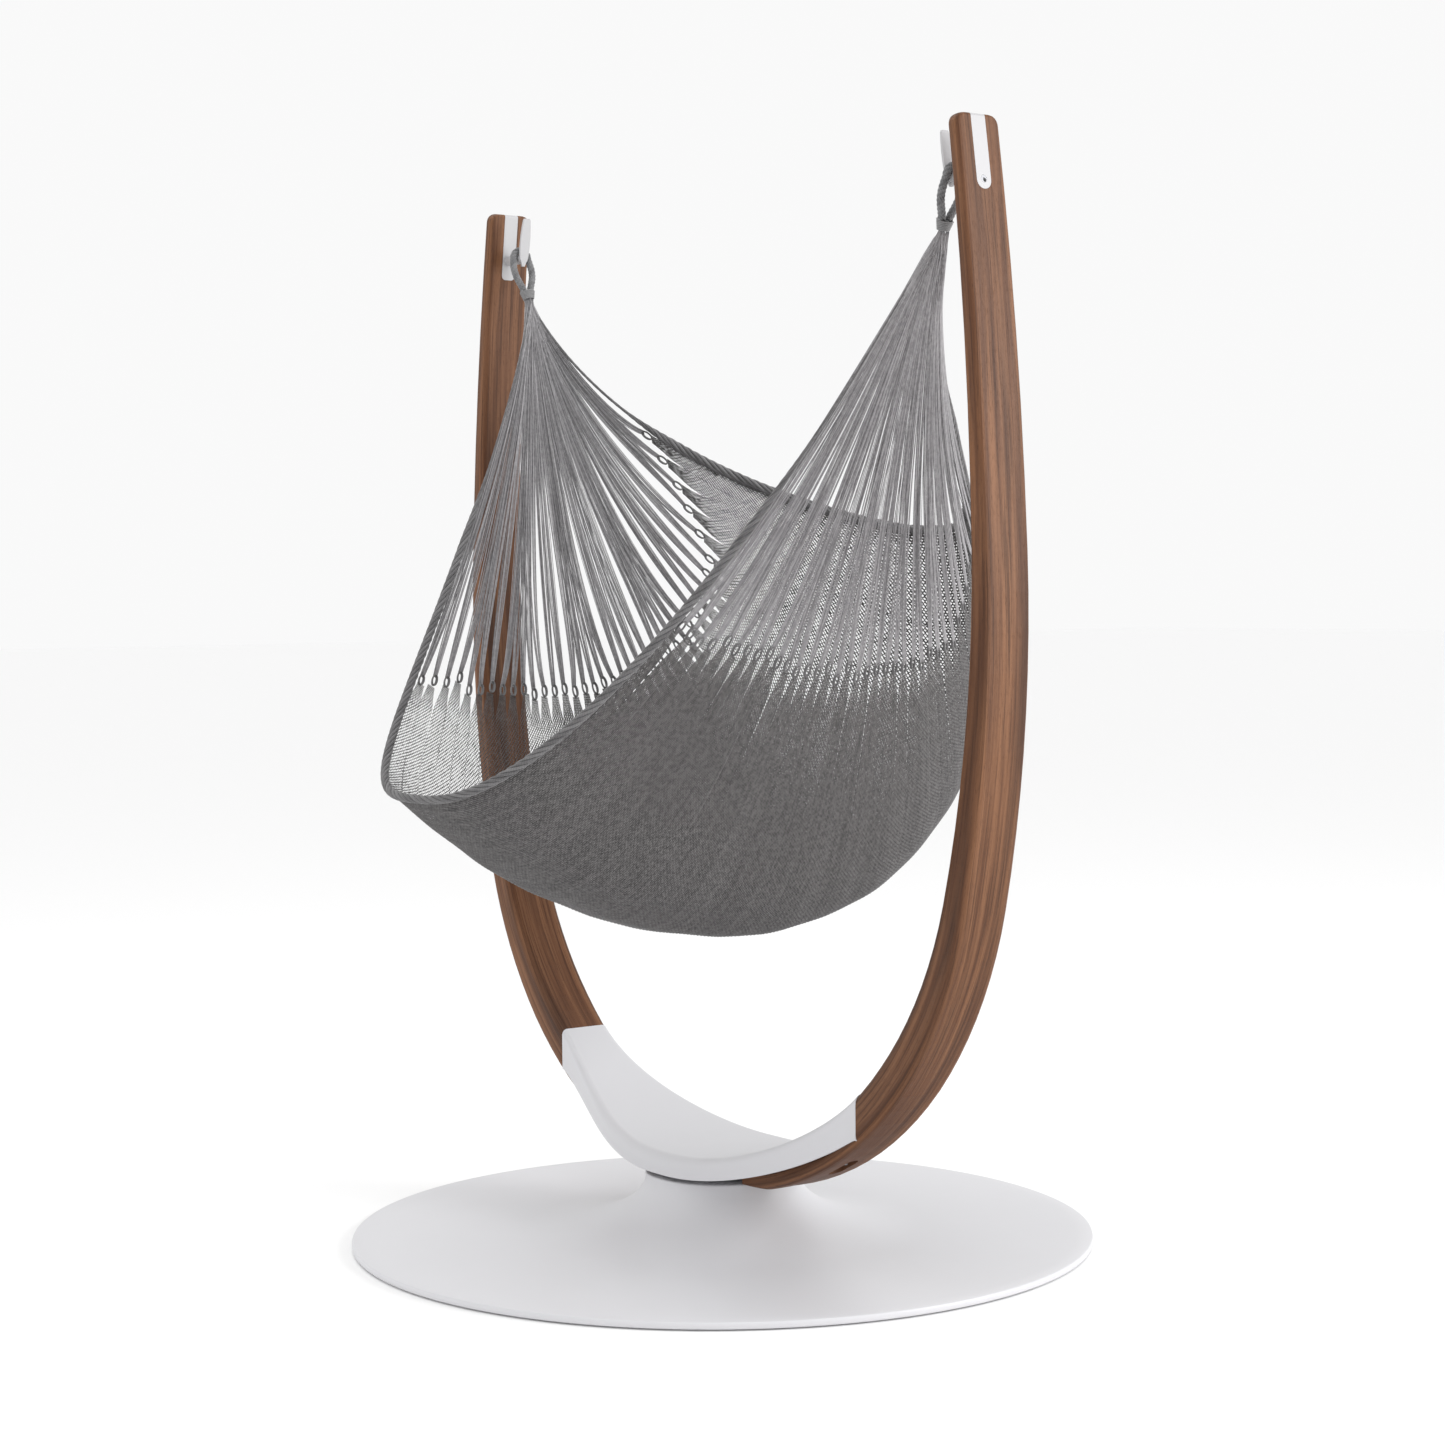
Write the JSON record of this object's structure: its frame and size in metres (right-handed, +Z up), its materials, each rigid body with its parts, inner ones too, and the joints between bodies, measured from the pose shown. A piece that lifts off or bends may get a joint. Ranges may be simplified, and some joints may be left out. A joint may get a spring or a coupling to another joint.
{
  "type": "hammock on stand",
  "caption": "Hammock chair on a swivelling stand: a round flared base carries a saddle with bent timber arms, and a net hammock hangs from hooks at the arm tips by rope eyes.",
  "frame": {"origin": "on the floor, at the middle of the round base", "axes": "+Z up; the arms stand at -X and +X; the open front of the hammock faces -Y"},
  "size_m": [1.6394, 1.4, 2.0113],
  "materials": {
    "white_coat": "satin powder coat, off-white",
    "zinc": "zinc-plated steel",
    "bright_steel": "bright stainless steel",
    "raw_steel": "dark primed steel",
    "bearing_polymer": "moulded polymer",
    "rubber": "matt rubber",
    "brass": "plain brass",
    "timber": "oiled red-brown hardwood, straight grain along the arm",
    "rope": "braided grey polyester",
    "net": "twined grey polyester cord"
  },
  "bodies": {
    "base": {"base_shell": "white_coat", "ballast_plate": "raw_steel", "pedestal_post": "raw_steel", "ballast_clamp_screw_1": "zinc", "ballast_clamp_screw_2": "zinc", "ballast_clamp_screw_3": "zinc", "ballast_clamp_screw_4": "zinc", "foot_pad_1": "rubber", "foot_pad_2": "rubber", "foot_pad_3": "rubber", "foot_pad_4": "rubber", "foot_pad_5": "rubber", "foot_pad_6": "rubber", "bearing_lower_race": "bright_steel", "bearing_ball_cage": "bearing_polymer"},
    "cradle": {"bearing_upper_race": "bright_steel", "swivel_plate": "white_coat", "saddle_hub": "raw_steel", "king_bolt": "zinc", "king_washer": "zinc", "saddle": "white_coat", "arm_left": "timber", "arm_right": "timber", "saddle_bolt_left_1": "bright_steel", "saddle_bolt_left_2": "bright_steel", "saddle_bolt_right_1": "bright_steel", "saddle_bolt_right_2": "bright_steel", "saddle_washer_left_1": "zinc", "saddle_washer_left_2": "zinc", "saddle_washer_right_1": "zinc", "saddle_washer_right_2": "zinc", "saddle_nut_left_1": "zinc", "saddle_nut_left_2": "zinc", "saddle_nut_right_1": "zinc", "saddle_nut_right_2": "zinc", "hook_bracket_left": "white_coat", "bracket_screw_left": "bright_steel", "arm_insert_left": "brass", "hook_bracket_right": "white_coat", "bracket_screw_right": "bright_steel", "arm_insert_right": "brass"},
    "hammock": {"rope_eye_left": "rope", "whipping_left": "rope", "end_strings_left": "net", "rope_eye_right": "rope", "whipping_right": "rope", "end_strings_right": "net", "net_bed": "net", "front_edge_cord": "net", "back_edge_cord": "net"}
  },
  "joints": [
    {"name": "stand_swivel", "type": "hinge", "parent": "base", "child": "cradle", "pos_m": [0, 0, 0.13], "axis": [0, 0, 1], "continuous": true},
    {"name": "hammock_swing", "type": "hinge", "parent": "cradle", "child": "hammock", "pos_m": [0, 0, 1.9145], "axis": [1, 0, 0], "range_deg": [-15, 15]}
  ]
}
